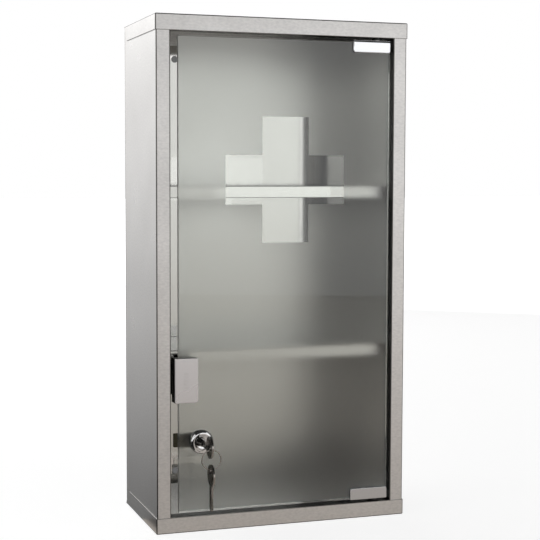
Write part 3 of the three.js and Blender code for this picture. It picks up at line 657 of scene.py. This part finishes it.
def coil(centre, radius, span, turns, radial, axial):
    """A wire wound round the Y axis through the centre, between two places on it."""
    bm = bmesh.new()
    steps = turns * SMALL_ROUND_STEPS
    rings = []
    for k in range(steps + 1):
        angle = 2 * math.pi * turns * k / steps
        along = span[0] + (span[1] - span[0]) * k / steps
        ring = []
        for side in range(WIRE_SIDES):
            turn = 2 * math.pi * side / WIRE_SIDES
            reach = radius + radial / 2 * math.cos(turn)
            ring.append(bm.verts.new((
                centre.x + reach * math.cos(angle),
                along + axial / 2 * math.sin(turn),
                centre.z + reach * math.sin(angle),
            )))
        rings.append(ring)
    for one, two in zip(rings, rings[1:]):
        for side in range(WIRE_SIDES):
            after = (side + 1) % WIRE_SIDES
            bm.faces.new((one[side], one[after], two[after], two[side]))
    bm.faces.new(rings[0])
    bm.faces.new(rings[-1])
    bmesh.ops.recalc_face_normals(bm, faces=bm.faces)
    return bm


# Carcass
def make_cap(name, end, inward):
    """A cap with its outer face at one end of the cabinet; inward is the way from there to the other."""
    low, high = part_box(name)
    bm = solid_copy(name)
    inner, gap_shade, fold_shade, brushed = [SHEET_FINISHES.index(finish) for finish in (INNER_SHADE, GAP_SHADE, FOLD_SHADE, BRUSHED)]
    flange = (Y, high.y - SHEET)
    # Painted shade: the inside face takes the darker inner shade steel.
    paint(bm, inner, [(Z, end + inward * SHEET)])
    # Painted shade: the lips and the rear flange's front face take the near-black gap shade steel.
    paint(bm, gap_shade, [(Z, end + inward * LIP_PLACE), flange])
    paint(bm, brushed, [(Y, low.y)])
    walls = [(X, low.x), (X, high.x), (Y, low.y)]
    # Painted shade: the rounded folds and rail edges take the dark fold shade steel.
    round_edges(bm, FOLD_RADIUS, walls + [(Z, end)], fold_shade)
    round_edges(bm, RAIL_ROUND, walls + [(Z, end + inward * RAIL_HEIGHT)], fold_shade)
    round_edges(bm, HEM_ROUND, [flange, (Z, end + inward * REAR_FLANGE)], inner)
    ease_edges(piece(name + "_sheet", bm, name, SHEET_FINISHES), EDGE_ROUND)


def make_side(name, sign):
    """A side panel; sign is the way from the cabinet's middle to it, along X."""
    low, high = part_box(name)
    outer = sign * max(abs(low.x), abs(high.x))
    edge = sign * min(abs(low.x), abs(high.x))
    bm = solid_copy(name)
    inner, gap_shade, fold_shade, brushed = [SHEET_FINISHES.index(finish) for finish in (INNER_SHADE, GAP_SHADE, FOLD_SHADE, BRUSHED)]
    # Painted shade: the inside face takes the darker inner shade steel.
    paint(bm, inner, [(X, outer - sign * SHEET)])
    # Painted shade: the edge faces beside the door take the near-black gap shade steel.
    paint(bm, gap_shade, [(X, edge)])
    paint(bm, brushed, [(Y, low.y)])
    # Painted shade: the rounded folds take the dark fold shade steel.
    round_edges(bm, FOLD_RADIUS, [(X, outer), (X, edge), (Y, low.y), (Y, high.y)], fold_shade)
    ease_edges(piece(name + "_sheet", bm, name, SHEET_FINISHES), EDGE_ROUND)


def make_shelf(name):
    low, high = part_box(name)
    bm = solid_copy(name)
    paint(bm, SHELF_FINISHES.index(POLISHED), [(Y, low.y)])
    planes = [(X, low.x), (X, high.x), (Y, low.y), (Y, high.y), (Z, high.z)]
    round_edges(bm, FOLD_RADIUS, planes)
    # Painted shade: a dark line along the hem under the front lip.
    round_edges(bm, HEM_ROUND, [(Y, low.y), (Z, low.z)], SHELF_FINISHES.index(FOLD_SHADE))
    ease_edges(piece(name + "_sheet", bm, name, SHELF_FINISHES), EDGE_ROUND)


def wall_holes():
    """The places of the holes in the back panel."""
    low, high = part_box("back_panel")
    for x in (-WALL_HOLE_SPACING / 2, WALL_HOLE_SPACING / 2):
        for z in (low.z + WALL_HOLE_INSET, high.z - WALL_HOLE_INSET):
            yield Vector((x, 0, z))


def make_back():
    low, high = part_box("back_panel")
    drills = [drill(hole, Y, WALL_HOLE_RADIUS, low.y - SHEET, high.y + SHEET) for hole in wall_holes()]
    bm = cut(block(low, high), *drills)
    paint(bm, BACK_FINISHES.index(POLISHED), [(Y, low.y)])
    ease_edges(piece("back_sheet", bm, "back_panel", BACK_FINISHES), EDGE_ROUND)


def make_rivet(name):
    low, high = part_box(name)
    radius = (high.z - low.z) / 2
    crown = radius * CROWN_SHARE
    drop = RIVET_HEAD * CROWN_DROP
    profile = [(0, low.x), (crown, low.x + drop), (radius, low.x + RIVET_HEAD)]
    profile += [(RIVET_RADIUS, low.x + RIVET_HEAD), (RIVET_RADIUS, high.x - RIVET_HEAD)]
    profile += [(radius, high.x - RIVET_HEAD), (crown, high.x - drop), (0, high.x)]
    piece(name + "_turned", turned(profile, centre_of(name), X, SMALL_ROUND_STEPS), name)


def make_carcass():
    make_cap("top_cap", CAD_HIGH.z, -1)
    make_cap("bottom_cap", 0, 1)
    make_side("left_side", -1)
    make_side("right_side", 1)
    make_shelf("upper_shelf")
    make_shelf("lower_shelf")
    make_back()
    make_rivet("strike_rivet_1")
    make_rivet("strike_rivet_2")


# Door
def make_glass():
    bm = solid_copy("door_glass")
    low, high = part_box("door_glass")
    blasted = [(Y, GLASS_BACK), (X, low.x), (X, high.x), (Z, low.z), (Z, high.z)]
    paint(bm, GLASS_FINISHES.index(FROSTED), blasted)
    piece("door_pane", bm, "door_glass", GLASS_FINISHES)


def make_clamp(name, sign):
    """A hinge clamp; sign is the way from the glass to its end, up or down."""
    low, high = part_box(name)
    face_back = low.y + CLAMP_FACE
    rounds = (CLAMP_CORNER, CLAMP_CORNER, 0, 0) if sign > 0 else (0, 0, CLAMP_CORNER, CLAMP_CORNER)
    face = plate(rounded_rect((low.x, low.z), (high.x, high.z), rounds), Y, low.y, face_back)
    outer, inner = (high.z, low.z) if sign > 0 else (low.z, high.z)
    round_edges(face, CLAMP_BEND, [(Y, low.y), (Z, outer)])
    round_rim(face, CLAMP_ROUND, (Y, low.y))
    end = outer - sign * JAW_INSET / 2
    lap = outer - sign * CLAMP_WALL
    start = face_back - CLAMP_FACE / 2
    section = [(start, lap), (BLOCK_FRONT, lap), (BLOCK_FRONT, inner)]
    section += [(high.y, inner), (high.y, end), (start, end)]
    jaw = plate(section, X, low.x + JAW_INSET, high.x - JAW_INSET)
    # Painted shade: the clamps take the darker, cooler clamp chrome.
    ease_edges(piece(name + "_polished", join(face, jaw), name, [SHADED_CLAMP_CHROME]), EDGE_ROUND)


def make_push_plate():
    low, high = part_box("push_plate")
    back = high.y
    front = back - PUSH_THICKNESS
    bm = plate(rounded_rect((low.x, low.z), (high.x, high.z), PUSH_CORNERS), Y, front, back)
    round_rim(bm, PUSH_ROUND, (Y, front))
    middle = (low + high) / 2
    left, right = middle.x - RIB_LENGTH / 2, middle.x + RIB_LENGTH / 2
    ends = (RIB_WIDTH / 2 - RIB_ROUND,) * 4
    for k in range(PUSH_RIBS):
        z = middle.z + (k - (PUSH_RIBS - 1) / 2) * RIB_PITCH
        outline = rounded_rect((left, z - RIB_WIDTH / 2), (right, z + RIB_WIDTH / 2), ends)
        rib = plate(outline, Y, low.y, front + PUSH_THICKNESS / 2)
        round_rim(rib, RIB_ROUND, (Y, low.y))
        add_shell(bm, rib)
    even_normals(piece("push_face", bm, "push_plate", [SATIN_CHROME]))


def make_screw(name, radius, inward=-1):
    """A slotted screw along Y; inward is the way from its head to its tip."""
    low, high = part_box(name)
    middle = centre_of(name)
    head = (high.x - low.x) / 2
    top, tip = (high.y, low.y) if inward < 0 else (low.y, high.y)
    seat = top + inward * SCREW_HEAD
    chamfer = HEAD_ROUND * CHAMFER_SHARE
    profile = [(0, tip), (radius * TIP_SHARE, tip), (radius, tip - inward * radius * TIP_LENGTH)]
    profile += [(radius, seat), (head, seat)]
    profile += [(head, top + inward * HEAD_ROUND), (head - chamfer, top + inward * chamfer)]
    profile += [(head - HEAD_ROUND, top), (0, top)]
    slot = block(
        (middle.x - head * 2, top - SCREW_SLOT_DEPTH, middle.z - SCREW_SLOT / 2),
        (middle.x + head * 2, top + SCREW_SLOT_DEPTH, middle.z + SCREW_SLOT / 2),
    )
    piece(name + "_turned", cut(turned(profile, middle, Y, SMALL_ROUND_STEPS), slot), name)


def make_door():
    make_glass()
    make_clamp("upper_hinge_clamp", 1)
    make_clamp("lower_hinge_clamp", -1)
    make_push_plate()
    for place in ("upper_clamp", "lower_clamp", "push"):
        make_screw(place + "_screw_1", SCREW_RADIUS)
        make_screw(place + "_screw_2", SCREW_RADIUS)


# Latch
def make_latch():
    make_screw("latch_screw_1", SMALL_SCREW_RADIUS, 1)
    make_screw("latch_screw_2", SMALL_SCREW_RADIUS, 1)
    low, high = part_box("latch_spring")
    radius = (high.z - low.z - SPRING_WIRE) / 2
    span = (low.y + SPRING_WIRE / 2, high.y - SPRING_WIRE / 2)
    wire = coil((low + high) / 2, radius, span, SPRING_TURNS, SPRING_WIRE, SPRING_WIRE)
    spring = piece("latch_coil", wire, "latch_spring")
    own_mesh(spring)


# Lock
def make_lock_body():
    low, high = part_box("lock_body")
    rim = FRONT - FIT - BEZEL_RIM
    profile = [(BEZEL_RADIUS, FRONT - FIT)]
    for k in range(DOME_STEPS + 1):
        angle = math.pi / 2 * k / DOME_STEPS
        out = max(math.cos(angle), 0) ** (2 / DOME_POWER)
        up = math.sin(angle) ** (2 / DOME_POWER)
        profile.append((NOSE_RADIUS + (BEZEL_RADIUS - NOSE_RADIUS) * out, rim + (low.y - rim) * up))
    recess = low.y + PLUG_RECESS
    profile += [(PLUG_RECESS_RADIUS, low.y), (PLUG_RECESS_RADIUS, recess), (PLUG_BORE_RADIUS, recess)]
    profile += [(PLUG_BORE_RADIUS, high.y), (BARREL_RADIUS, high.y)]
    threads = int((high.y - GLASS_BACK) / THREAD_PITCH)
    for k in range(threads):
        start = high.y - k * THREAD_PITCH
        profile.append((BARREL_RADIUS - THREAD_DEPTH, start - THREAD_PITCH / 2))
        profile.append((BARREL_RADIUS, start - THREAD_PITCH))
    profile.append((BARREL_RADIUS, FRONT - FIT))
    bm = turned(profile, centre_of("lock_body"), Y, closed=True)
    ease_edges(piece("lock_bezel", bm, "lock_body"), EDGE_ROUND)


def make_plug():
    low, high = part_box("lock_plug")
    middle = centre_of("lock_plug")
    cam_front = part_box("lock_cam")[0].y
    neck = cam_front - FIT
    profile = [
        (0, low.y + PLUG_DISH),
        (PLUG_DISH_RADIUS - PLUG_DISH, low.y + PLUG_DISH),
        (PLUG_DISH_RADIUS + PLUG_DISH, low.y),
        (PLUG_HEAD_RADIUS, low.y),
        (PLUG_HEAD_RADIUS, low.y + PLUG_HEAD),
        (PLUG_RADIUS, low.y + PLUG_HEAD),
        (PLUG_RADIUS, neck),
        (PLUG_TAIL_RADIUS, neck),
        (PLUG_TAIL_RADIUS, high.y),
        (0, high.y),
    ]
    keyway = block(
        (middle.x - KEYWAY_WIDTH / 2, low.y - KEYWAY_WIDTH, middle.z - KEYWAY_HEIGHT / 2),
        (middle.x + KEYWAY_WIDTH / 2, neck - KEYWAY_WIDTH, middle.z + KEYWAY_HEIGHT / 2),
    )
    ease_edges(piece("lock_core", cut(turned(profile, middle, Y), keyway), "lock_plug"), EDGE_ROUND)


def make_cam():
    low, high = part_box("lock_cam")
    axis = centre_of("lock_plug")
    bm = plate(rounded_rect((low.x, low.z), (high.x, high.z), CAM_CORNERS), Y, low.y, high.y)
    bm = cut(bm, drill(axis, Y, PLUG_TAIL_RADIUS + FIT, low.y - SHEET, high.y + SHEET))
    ease_edges(piece("lock_cam_plate", bm, "lock_cam", [DARK_ZINC]), EDGE_ROUND)


def key_mesh():
    """A key with its bow's centre at the origin, its blade along +Y and its cuts on the -Z edge."""
    half = KEY_BLADE_WIDTH / 2
    meet = math.asin(half / KEY_BOW_RADIUS)
    outline = []
    for k in range(ROUND_STEPS + 1):
        angle = meet + (2 * math.pi - 2 * meet) * k / ROUND_STEPS
        outline.append((KEY_BOW_RADIUS * math.cos(angle), KEY_BOW_RADIUS * math.sin(angle)))
    end = KEY_BOW_RADIUS + KEY_BLADE_LENGTH
    start = end - KEY_TIP - len(KEY_CUT_DEPTHS) * KEY_CUT_PITCH
    slope = (1 - KEY_CUT_FLAT) / 2 * KEY_CUT_PITCH
    for depth in KEY_CUT_DEPTHS:
        outline.append((start, -half))
        outline.append((start + slope, depth - half))
        start += KEY_CUT_PITCH
        outline.append((start - slope, depth - half))
    outline += [(end - KEY_TIP, -half), (end, KEY_TIP - half), (end, half - KEY_TIP), (end - KEY_TIP, half)]
    side = KEY_THICKNESS / 2
    bm = plate(outline, X, -side, side)
    origin = Vector()
    bm = cut(bm, drill(Vector((0, -KEY_HOLE_OFFSET, 0)), X, KEY_HOLE_RADIUS, -2 * side, 2 * side))
    for sign in (-1, 1):
        floor = sign * (side - KEY_RECESS)
        bm = cut(bm, drill(origin, X, KEY_RECESS_RADIUS, *sorted((floor, 2 * sign * side))))
        groove = sign * (side - KEY_GROOVE_DEPTH)
        low_x, high_x = sorted((groove, 2 * sign * side))
        middle = sign * KEY_GROOVE_OFFSET
        bm = cut(bm, block(
            (low_x, KEY_BOW_RADIUS + KEY_TIP, middle - KEY_GROOVE_WIDTH / 2),
            (high_x, end + KEY_TIP, middle + KEY_GROOVE_WIDTH / 2),
        ))
    return bm


def make_keys():
    key_low, key_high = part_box("key")
    bm = key_mesh()
    place = Vector(((key_low.x + key_high.x) / 2, key_low.y + KEY_BOW_RADIUS, (key_low.z + key_high.z) / 2))
    bm.transform(Matrix.Translation(place))
    ease_edges(piece("lock_key", bm, "key", [SHADED_NICKEL]), KEY_ROUND)
    low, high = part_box("spare_key")
    bm = key_mesh()
    place = Vector(((low.x + high.x) / 2, (low.y + high.y) / 2, high.z - KEY_BOW_RADIUS))
    bm.transform(Matrix.Translation(place) @ Matrix.Rotation(-math.pi / 2, 4, "X"))
    ease_edges(piece("second_key", bm, "spare_key", [SHADED_NICKEL]), KEY_ROUND)


def make_ring():
    low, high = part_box("key_ring")
    middle = (low + high) / 2
    radius = (high.x - low.x - RING_WIRE_RADIAL) / 2
    reach = (RING_TURNS - 1) * RING_WIRE_AXIAL / 2
    span = (middle.y - reach, middle.y + reach)
    wire = coil(middle, radius, span, RING_TURNS, RING_WIRE_RADIAL, RING_WIRE_AXIAL)
    piece("split_ring", wire, "key_ring", [SHADED_NICKEL])


def make_lock():
    make_lock_body()
    make_plug()
    make_cam()
    make_screw("cam_screw", SMALL_SCREW_RADIUS)
    make_keys()
    make_ring()


# Studio
def make_world():
    world = bpy.data.worlds.new("world")
    world.use_nodes = True
    bpy.context.scene.world = world
    nodes = Nodes(world.node_tree)
    back = nodes.add("ShaderNodeBackground", {"Color": WORLD_COLOR})
    nodes.add("ShaderNodeOutputWorld", {"Surface": back.outputs[0]})


def stage_sheet(name, corners, material):
    bm = bmesh.new()
    bm.faces.new([bm.verts.new(corner) for corner in corners])
    mesh = bpy.data.meshes.new(name)
    bm.to_mesh(mesh)
    bm.free()
    mesh.materials.append(material)
    sheet = link(bpy.data.objects.new(name, mesh))
    return sheet


def hide_from_view(sheet):
    sheet.visible_camera = False
    sheet.visible_diffuse = False
    sheet.visible_shadow = False


def glow(name):
    material, nodes = empty_material(name)
    shader = nodes.add("ShaderNodeEmission")
    nodes.add("ShaderNodeOutputMaterial", {"Surface": shader.outputs[0]})
    return material, nodes, shader


def make_floor():
    """A pale floor that takes the shadow, and under it the tones that the metal and glass reflect."""
    size = FLOOR_SIZE
    material, nodes, shader = new_material("floor", {"Base Color": FLOOR_COLOR, "Roughness": FLOOR_ROUGHNESS})
    nodes.set(shader, "Emission Color", (FLOOR_GLOW, FLOOR_GLOW, FLOOR_GLOW, 1))
    nodes.set(shader, "Emission Strength", nodes.add("ShaderNodeLightPath").outputs["Is Camera Ray"])
    corners = [(-size, -size, 0), (size, -size, 0), (size, size, 0), (-size, size, 0)]
    floor = stage_sheet("floor", corners, material)
    floor.visible_glossy = False
    floor.visible_transmission = False
    for name, low, high, tones in (
        ("front_left_tone", (-size, -size), (DARK_EDGE, 0), FRONT_LEFT_TONES),
        ("front_right_tone", (DARK_EDGE, -size), (size, 0), FRONT_RIGHT_TONES),
        ("rear_tone", (-size, 0), (size, size), REAR_TONES),
    ):
        material, nodes, shader = glow(name)
        place = nodes.add("ShaderNodeTexCoord").outputs["Object"]
        away = nodes.add("ShaderNodeVectorMath", {0: place}, operation="LENGTH").outputs["Value"]
        level = nodes.add("ShaderNodeMapRange", {"Value": away, "From Max": TONE_REACH}).outputs["Result"]
        nodes.set(shader, "Color", nodes.ramp(level, tones))
        corners = [(x, y, -TONE_DEPTH) for x, y in rounded_rect(low, high, SQUARE)]
        hide_from_view(stage_sheet(name, corners, material))


def make_cards():
    """Cards for the metal and glass to reflect: upright ones, and a canopy overhead and in front."""
    for name, bearing, half_width, distance, top, stops in CARDS:
        angle = math.radians(bearing)
        away = Vector((math.sin(angle), -math.cos(angle), 0)) * distance
        reach = distance * math.tan(math.radians(half_width))
        across = Vector((math.cos(angle), math.sin(angle), 0)) * reach
        corners = []
        for side, height in ((-1, 0), (1, 0), (1, top), (-1, top)):
            corners.append(away + across * side + Vector((0, 0, height)))
        material, nodes, shader = glow(name)
        place = nodes.add("ShaderNodeTexCoord").outputs["Object"]
        height = nodes.add("ShaderNodeSeparateXYZ", {"Vector": place}).outputs["Z"]
        share = nodes.add("ShaderNodeMapRange", {"Value": height, "From Max": top}).outputs["Result"]
        greys = [(stop, (strength, strength, strength)) for stop, strength in stops]
        nodes.set(shader, "Color", nodes.ramp(share, greys))
        stage_sheet(name, corners, material).visible_camera = False
    material, nodes, shader = glow("canopy")
    nodes.set(shader, "Strength", CANOPY_GLOW)
    reach = CANOPY_HALF_WIDTH
    for k, ends in enumerate(zip(CANOPY_LINE, CANOPY_LINE[1:])):
        (y0, z0), (y1, z1) = ends
        corners = [(-reach, y0, z0), (reach, y0, z0), (reach, y1, z1), (-reach, y1, z1)]
        stage_sheet(f"canopy_{k + 1}", corners, material).visible_camera = False


def make_hole_shades():
    """Grey discs behind the wall holes, as the wall in the cabinet's own shade; clear from behind."""
    material, nodes = empty_material("hole_shade")
    grey = nodes.add("ShaderNodeEmission", {"Strength": SHADE_GLOW})
    clear = nodes.add("ShaderNodeBsdfTransparent")
    behind = nodes.add("ShaderNodeNewGeometry").outputs["Backfacing"]
    mixed = nodes.add("ShaderNodeMixShader", {0: behind, 1: grey.outputs[0], 2: clear.outputs[0]})
    nodes.add("ShaderNodeOutputMaterial", {"Surface": mixed.outputs[0]})
    depth = Vector((0, CAD_HIGH.y + SHADE_DEPTH, 0))
    for k, hole in enumerate(wall_holes()):
        corners = []
        for step in range(SMALL_ROUND_STEPS):
            angle = 2 * math.pi * step / SMALL_ROUND_STEPS
            corners.append(hole + depth + Vector((math.cos(angle), 0, math.sin(angle))) * SHADE_RADIUS)
        shade = stage_sheet(f"hole_shade_{k + 1}", corners, material)
        shade.visible_shadow = False
        shade.visible_diffuse = False


make_camera()
make_world()
make_floor()
make_cards()
make_hole_shades()
finish_nodes()
make_carcass()
make_door()
make_latch()
make_lock()

scene = bpy.context.scene
scene.view_settings.view_transform = "Standard"
